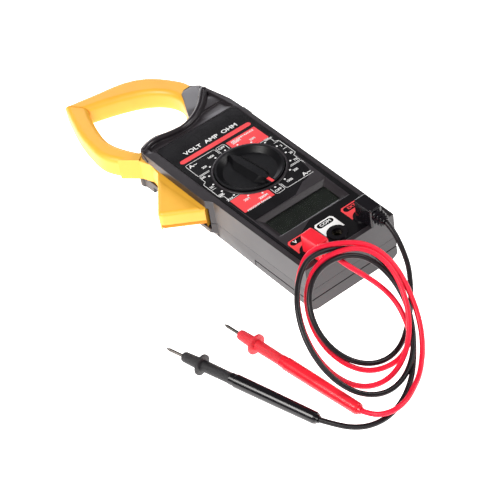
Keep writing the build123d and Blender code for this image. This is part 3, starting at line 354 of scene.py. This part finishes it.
FINISHES = {
    "case": ["front_shell"],
    "rear": ["rear_shell", "battery_cover"],
    "label": ["face_label"],
    "yellow": ["fixed_jaw_front", "fixed_jaw_rear", "moving_jaw_front", "moving_jaw_rear"],
    "knob": ["rotary_knob", "hold_button"],
    "red_print": ["knob_pointer"],
    "black": ["jack_housings", "jack_sleeves", "black_plug", "black_probe_handle",
              "black_probe_boot"],
    "red": ["red_plug", "red_probe_handle", "red_probe_boot"],
    "red_grip": ["red_probe_grip"],
    "black_grip": ["black_probe_grip"],
    "nickel": ["red_probe_tip", "black_probe_tip", "red_plug_pin", "black_plug_pin",
               "battery_terminals"],
    "steel": ["case_screws", "battery_cover_screw", "board_screws", "jaw_screws", "jaw_pivot_pin",
              "detent_balls"],
    "spring": ["detent_springs", "hold_spring", "jaw_spring", "knob_clip"],
    "brass": ["jack_contacts", "knob_contacts", "buzzer"],
    "core": ["fixed_core", "moving_core"],
    "winding": ["winding"],
    "clear": ["lcd_window", "fuse"],
    "display": ["lcd_panel"],
    "board": ["circuit_board"],
    "chip": ["measuring_chip", "battery_snap", "lcd_frame"],
    "white_part": ["winding_bobbin", "trimmer", "hold_switch"],
    "rubber": ["display_strips"],
    "battery": ["battery"],
    "red_lead": ["red_lead_start", "red_lead_end", "battery_wires"],
    "black_lead": ["black_lead_start", "black_lead_end", "lead_coil"],
}


SOFT_EDGES = {"front_shell": 0.5, "rear_shell": 0.2, "battery_cover": 0.2}    # radii in millimetres


def finish_cad_nodes():
    """Gives every CAD node its finish, and soft edges to the mouldings of the case."""
    for finish, names in FINISHES.items():
        for name in names:
            node = nodes[name]
            node.data.materials.clear()
            node.data.materials.append(MATERIALS[finish])
    for name, radius in SOFT_EDGES.items():
        add_bevel(nodes[name], radius * MM)


def add_bevel(piece, radius):
    """Rounds a moulding's sharp edges: joins its faces, bevels them and evens the shading."""
    weld = piece.modifiers.new("joined", "WELD")
    weld.merge_threshold = 0.00002
    bevel = piece.modifiers.new("soft_edges", "BEVEL")
    bevel.width = radius
    bevel.segments = 3
    bevel.limit_method = "ANGLE"
    bevel.angle_limit = math.radians(35.0)
    bevel.use_clamp_overlap = False
    even = piece.modifiers.new("even_shading", "WEIGHTED_NORMAL")
    even.keep_sharp = False
    even.weight = 80


# ---------------------------------------------------------------- leads
RED_START = [
    (-17.6, -99.0, 39.5), (-17.1, -104.4, 38.4), (-14.2, -109.8, 34.8), (-10.0, -114.8, 29.6),
    (-5.8, -119.6, 23.6), (-2.8, -125.4, 17.2), (-2.6, -132.2, 11.6),
]
RED_OVER = [
    (-7.5, -101.5, 45.0), (1.4, -108.4, 40.0), (5.0, -117.6, 33.6), (5.2, -126.0, 26.8),
    (3.4, -134.4, 19.6),
]
RED_END = [
    (0.6, -142.0, 13.4), (-3.6, -149.2, 7.8), (-9.2, -155.8, 3.4), (-15.6, -161.8, 1.6),
    (-22.4, -167.4, 1.6), (-31.0, -173.0, 3.6), (-40.0, -177.8, 5.0), (-48.8, -179.2, 5.8),
    (-55.2, -176.6, 5.4), (-58.8, -171.6, 4.4), (-60.4, -165.7, 3.4),
]
BLACK_START = [
    (19.0, -99.0, 39.5), (18.8, -103.8, 37.8), (18.3, -108.8, 33.4), (17.8, -113.4, 27.0),
    (16.8, -117.4, 20.5), (14.4, -120.8, 13.4), (10.6, -125.0, 7.0), (4.5, -130.6, 3.2),
    (-3.0, -136.4, 1.7),
]
BLACK_OVER = [
    (-6.4, -100.1, 41.0), (1.0, -107.4, 35.6), (3.8, -116.6, 28.0), (3.2, -126.2, 21.0),
    (-0.4, -135.8, 14.6),
]
BLACK_END = [
    (-5.2, -143.8, 9.8), (-10.9, -150.9, 5.2), (-16.2, -156.4, 1.7), (-25.4, -165.2, 1.5),
    (-35.4, -171.8, 1.6), (-44.4, -175.6, 1.5), (-52.8, -177.2, 1.6), (-61.0, -175.8, 1.5),
    (-67.8, -172.0, 1.6), (-74.2, -165.2, 2.4), (-79.7, -155.2, 3.4),
]
# each turn of the coil: centre, half axes, turn of the long axis, slopes along y and x
RED_INNER = ((-25.8, -126.4, 22.9), (27.6, 25.0), -15.0, 0.885, 0.100)
RED_OUTER = ((-28.7, -125.3, 25.5), (35.6, 29.0), 48.7, 0.712, 0.085)
BLACK_INNER = ((-25.8, -125.5, 23.0), (26.8, 21.6), 0.0, 0.98, -0.085)
BLACK_OUTER = ((-31.6, -130.4, 24.7), (37.8, 29.7), 49.7, 0.698, -0.124)
RED_LENGTH = 0.549
BLACK_LENGTH = 0.575


def loop_point(loop, degrees):
    """Point of a leaning oval turn, in millimetres, no lower than the floor."""
    (x, y, z), (long_half, short_half), turned, slope_y, slope_x = loop
    around = math.radians(degrees - turned)
    tilt = math.radians(turned)
    along = long_half * math.cos(around)
    across = short_half * math.sin(around)
    dx = along * math.cos(tilt) - across * math.sin(tilt)
    dy = along * math.sin(tilt) + across * math.cos(tilt)
    return Vector((x + dx, y + dy, max(WIRE_ON_FLOOR, z + slope_y * dy + slope_x * dx)))


def coil_turns(inner, outer, start, end=-625.0, count=24, leave=-285.0, join=-365.0):
    """Turns that run clockwise from the inner oval out to the outer one."""
    points = []
    for step in range(count + 1):
        degrees = start + (end - start) * step / count
        share = min(1.0, max(0.0, (leave - degrees) / (leave - join)))
        points.append(loop_point(inner, degrees) * (1.0 - share) + loop_point(outer, degrees) * share)
    return points


def make_lead(name, points, material):
    """One lead as a smooth round curve through its route."""
    curve = bpy.data.curves.new(name, "CURVE")
    curve.dimensions = "3D"
    curve.resolution_u = 10
    curve.bevel_depth = LEAD_DIAMETER / 2
    curve.bevel_resolution = 6
    spline = curve.splines.new("NURBS")
    spline.points.add(len(points) - 1)
    for control, place in zip(spline.points, points):
        control.co = (*(Vector(place) * MM), 1.0)
    spline.order_u = 3
    spline.use_endpoint_u = True
    lead = bpy.data.objects.new(name, curve)
    curve.materials.append(material)
    bpy.context.scene.collection.objects.link(lead)
    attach(lead, "case")
    return lead


def make_leads():
    """Both test leads, from plug to probe."""
    red_route = RED_START + coil_turns(RED_INNER, RED_OUTER, -52.0) + RED_OVER + RED_END
    black_route = BLACK_START + coil_turns(BLACK_INNER, BLACK_OUTER, -65.0) + BLACK_OVER + BLACK_END
    for colour, route, length in (("red", red_route, RED_LENGTH), ("black", black_route, BLACK_LENGTH)):
        lead = make_lead(colour + "_lead", route, MATERIALS[colour + "_lead"])
        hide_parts(colour + "_lead_start", colour + "_lead_end", "lead_coil")


# ---------------------------------------------------------------- printed dial
class Print:
    """Flat printed shapes of one colour, gathered in one thin mesh on the label."""

    def __init__(self, name, finish, slot, height):
        self.name = name
        self.finish = finish
        self.slot = slot
        self.height = height
        self.mesh = bmesh.new()

    def fill(self, outline):
        """Filled outline, points in millimetres, anticlockwise."""
        corners = [self.mesh.verts.new((x * MM, y * MM, self.height)) for x, y in outline]
        self.mesh.faces.new(corners)

    def line(self, points, width):
        """Line of one width along points, with square joints."""
        for start, end in zip(points, points[1:]):
            a, b = Vector(start), Vector(end)
            along = (b - a).normalized() * width / 2
            side = Vector((-along.y, along.x))
            self.fill([a - along - side, b + along - side, b + along + side, a - along + side])

    def dot(self, centre, radius=0.62):
        """Round mark."""
        self.fill([(centre[0] + radius * math.cos(2 * math.pi * n / 20),
                    centre[1] + radius * math.sin(2 * math.pi * n / 20)) for n in range(20)])

    def words(self, text, centre, size, stretch=1.0):
        """Short piece of lettering, centred."""
        curve = bpy.data.curves.new("lettering", "FONT")
        curve.body = text
        curve.size = size * MM
        curve.align_x = "CENTER"
        curve.align_y = "CENTER"
        curve.offset = size * MM * BOLDER
        letters = bpy.data.objects.new("lettering", curve)
        flat = bpy.data.meshes.new_from_object(letters)
        place = Matrix.Translation((centre[0] * MM, centre[1] * MM, self.height))
        flat.transform(place @ Matrix.Diagonal((stretch, 1, 1, 1)))
        self.mesh.from_mesh(flat)
        bpy.data.meshes.remove(flat)
        bpy.data.objects.remove(letters)
        bpy.data.curves.remove(curve)

    def finish_piece(self):
        """Turns what was gathered into one piece that rides on the case."""
        data = bpy.data.meshes.new(self.name)
        self.mesh.to_mesh(data)
        self.mesh.free()
        piece = bpy.data.objects.new(self.name, data)
        data.materials.append(MATERIALS[self.finish])
        bpy.context.scene.collection.objects.link(piece)
        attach(piece, "case")


PRINT_STEP = 0.03 * MM      # each ink stands this much above the one below
JACK_Y = -79.0              # middle of the jacks, in millimetres
JACK_PITCH = 19.0           # from one jack to the next
PANEL_CUT = 6.1             # radius of the gap round a jack's ring
KNOB_CUT = 22.9             # radius of the gap round the knob
FRAME_WIDTH = 0.32          # line of the printed frames
BOLDER = 0.022              # strokes of the lettering are widened by this part of its size
DOT_RADIUS = 23.9           # circle of the range marks round the knob, in millimetres
TEXT_RADIUS = 26.2
FRAME_X = 25.4              # half width of the printed frames
STEP_DEGREES = 20.0         # turn between two ranges


def on_dial(radius, degrees):
    """Point on a circle round the knob, in millimetres."""
    return (radius * math.cos(math.radians(degrees)), radius * math.sin(math.radians(degrees)))


def dial_arc(radius, start, end, count=10):
    """Points along a circle round the knob."""
    return [on_dial(radius, start + (end - start) * n / count) for n in range(count + 1)]


def both_ways(points):
    """The points, and the same points turned half way round the knob."""
    return [points, [(-x, -y) for x, y in points]]


def rounded_bar(x_low, x_high, y_low, y_high):
    """Outline of a bar with round ends."""
    radius = (y_high - y_low) / 2
    middle = (y_high + y_low) / 2
    right = [(x_high - radius + radius * math.sin(math.pi * n / 8),
              middle - radius * math.cos(math.pi * n / 8)) for n in range(9)]
    left = [(x_low + radius - radius * math.sin(math.pi * n / 8),
             middle + radius * math.cos(math.pi * n / 8)) for n in range(9)]
    return right + left


def print_red(ink):
    """Red bar, and the two red blocks for the megohm ranges."""
    ink.fill(rounded_bar(-25.8, 26.2, 31.6, 35.2))
    block = [(4.3, 28.9), (4.2, 23.4)] + dial_arc(KNOB_CUT, 79.0, 39.0) + [(25.6, 14.5), (25.6, 28.9)]
    for outline in both_ways(block):
        ink.fill(outline[::-1])


def print_frames(ink):
    """White outlines of the range groups, each drawn again half a turn round the knob."""
    frames = [
        [(-FRAME_X, 16.2), (-FRAME_X, 28.6), (-24.8, 29.4), (-5.0, 29.4), (-4.1, 28.6), (-4.1, 24.0)],
        [(-FRAME_X, 16.2), (-17.6, 16.2)],
        [(-3.2, 23.4), (-3.2, 28.6), (-2.4, 29.4), (2.2, 29.4), (3.0, 28.6), (3.0, 23.4)],
        [(18.6, 13.8), (FRAME_X, 13.8), (FRAME_X, 8.8), (27.7, 7.6), (27.7, -8.0), (FRAME_X, -9.2),
         (FRAME_X, -14.6), (24.6, -15.3), (18.2, -15.3)],
        [(24.0, 7.4), (27.7, 7.4)],
        [(24.4, -0.6), (27.7, -0.6)],
    ]
    for points in frames:
        for turned in both_ways(points):
            ink.line(turned, FRAME_WIDTH)


RANGES = {          # place round the knob, in degrees: what is printed beside the mark
    110: "1000", 130: "200", -50: "200", -70: "1000",
    30: "200m", 10: "2", -10: "20", -30: "750",
    150: "200", 170: "2K", -170: "20K", -150: "200K",
    70: "2000M", 50: "20M", -130: "20M", -110: "2000M",
}


def print_ranges(ink):
    """White marks and numbers of the ranges round the knob."""
    for n in range(int(360 / STEP_DEGREES)):
        ink.dot(on_dial(DOT_RADIUS, 90.0 - STEP_DEGREES * n))
    for degrees, text in RANGES.items():
        x, y = on_dial(TEXT_RADIUS + 0.15 * len(text), degrees)
        drop = -1.8 if abs(y) < 6 else 0.0
        ink.words(text, (min(25.6, max(-25.6, x * 1.04)), y + drop), 2.5, 0.88)
    for side in (1, -1):
        ink.words("OFF", (-0.1, side * (TEXT_RADIUS + 0.9)), 2.6)
    ink.words("A~", (-21.6, 26.6), 3.9, 1.15)
    ink.words("A~", (20.4, -27.2), 3.9, 1.15)
    ink.words("VOLT  AMP  OHM", (0.4, 38.6), 4.4, 1.12)
    ink.words("MEGOHM RANGE", (15.2, 26.9), 2.0, 1.05)
    ink.words("MEGOHM RANGE", (-15.2, -28.6), 2.0, 1.05)


def jack_panel(x):
    """Outline of the printed panel behind one jack, cut round the jack's ring."""
    ring = [(x + PANEL_CUT * math.cos(math.radians(a)), JACK_Y + PANEL_CUT * math.sin(math.radians(a)))
            for a in range(160, 10, -10)]
    return [(x - 6.4, -76.9), *ring, (x + 6.8, -77.4), (x + 6.8, -67.0), (x + 5.6, -65.4),
            (x - 5.0, -65.4), (x - 6.4, -67.0)]


def make_dial():
    """All printing on the label."""
    red = Print("print_red", "red_print", "red_plastic", LABEL_TOP + PRINT_STEP)
    white = Print("print_white", "white", "white_plastic", LABEL_TOP + 2 * PRINT_STEP)
    black = Print("print_black", "label", "label_black", LABEL_TOP + 3 * PRINT_STEP)
    names = Print("print_jack_names", "white", "white_plastic", LABEL_TOP + 4 * PRINT_STEP)
    red_name = Print("print_red_name", "red_print", "red_plastic", LABEL_TOP + 4 * PRINT_STEP)
    print_red(red)
    print_frames(white)
    print_ranges(white)
    for x, ink in ((-JACK_PITCH, red), (0.0, white), (JACK_PITCH, red)):
        ink.fill(jack_panel(x))
        black.fill(rounded_bar(x - 5.3, x + 5.7, -70.2, -66.3))
    names.words("V", (-21.0, -68.2), 3.4, 1.1)
    names.words("COM", (0.3, -68.2), 3.0, 1.1)
    red_name.words("EXT", (19.3, -68.2), 2.8, 1.1)
    for ink in (red, white, black, names, red_name):
        ink.finish_piece()


# ---------------------------------------------------------------- case details
GUARD_CREST = [
    (-35.0, 54.0, 27.5), (-34.9, 57.6, 30.6), (-33.8, 60.2, 31.8), (-28.0, 62.8, 31.9),
    (-21.0, 63.3, 31.9), (-12.5, 61.0, 31.9), (-4.0, 60.1, 31.9), (6.6, 64.0, 31.9),
    (16.2, 71.0, 31.9), (24.0, 80.0, 31.9), (26.4, 82.6, 31.6), (28.2, 80.6, 30.4),
    (29.3, 76.0, 28.6),
]
CREST_RADIUS = 1.7          # millimetres, as the points above


def make_guard_crest():
    """Glossy rounded bead along the guard's edge, from the trigger's horn to the other one."""
    curve = bpy.data.curves.new("guard_crest", "CURVE")
    curve.dimensions = "3D"
    curve.resolution_u = 10
    curve.bevel_depth = CREST_RADIUS * MM
    curve.bevel_resolution = 6
    curve.use_fill_caps = True
    spline = curve.splines.new("NURBS")
    spline.points.add(len(GUARD_CREST) - 1)
    for control, place in zip(spline.points, GUARD_CREST):
        control.co = (*(Vector(place) * MM), 1.0)
    spline.order_u = 3
    spline.use_endpoint_u = True
    curve.materials.append(MATERIALS["crest"])
    crest = bpy.data.objects.new("guard_crest", curve)
    bpy.context.scene.collection.objects.link(crest)
    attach(crest, "case")


# ---------------------------------------------------------------- run
make_camera()
make_leads()
make_studio()
finish_cad_nodes()
make_guard_crest()
make_dial()
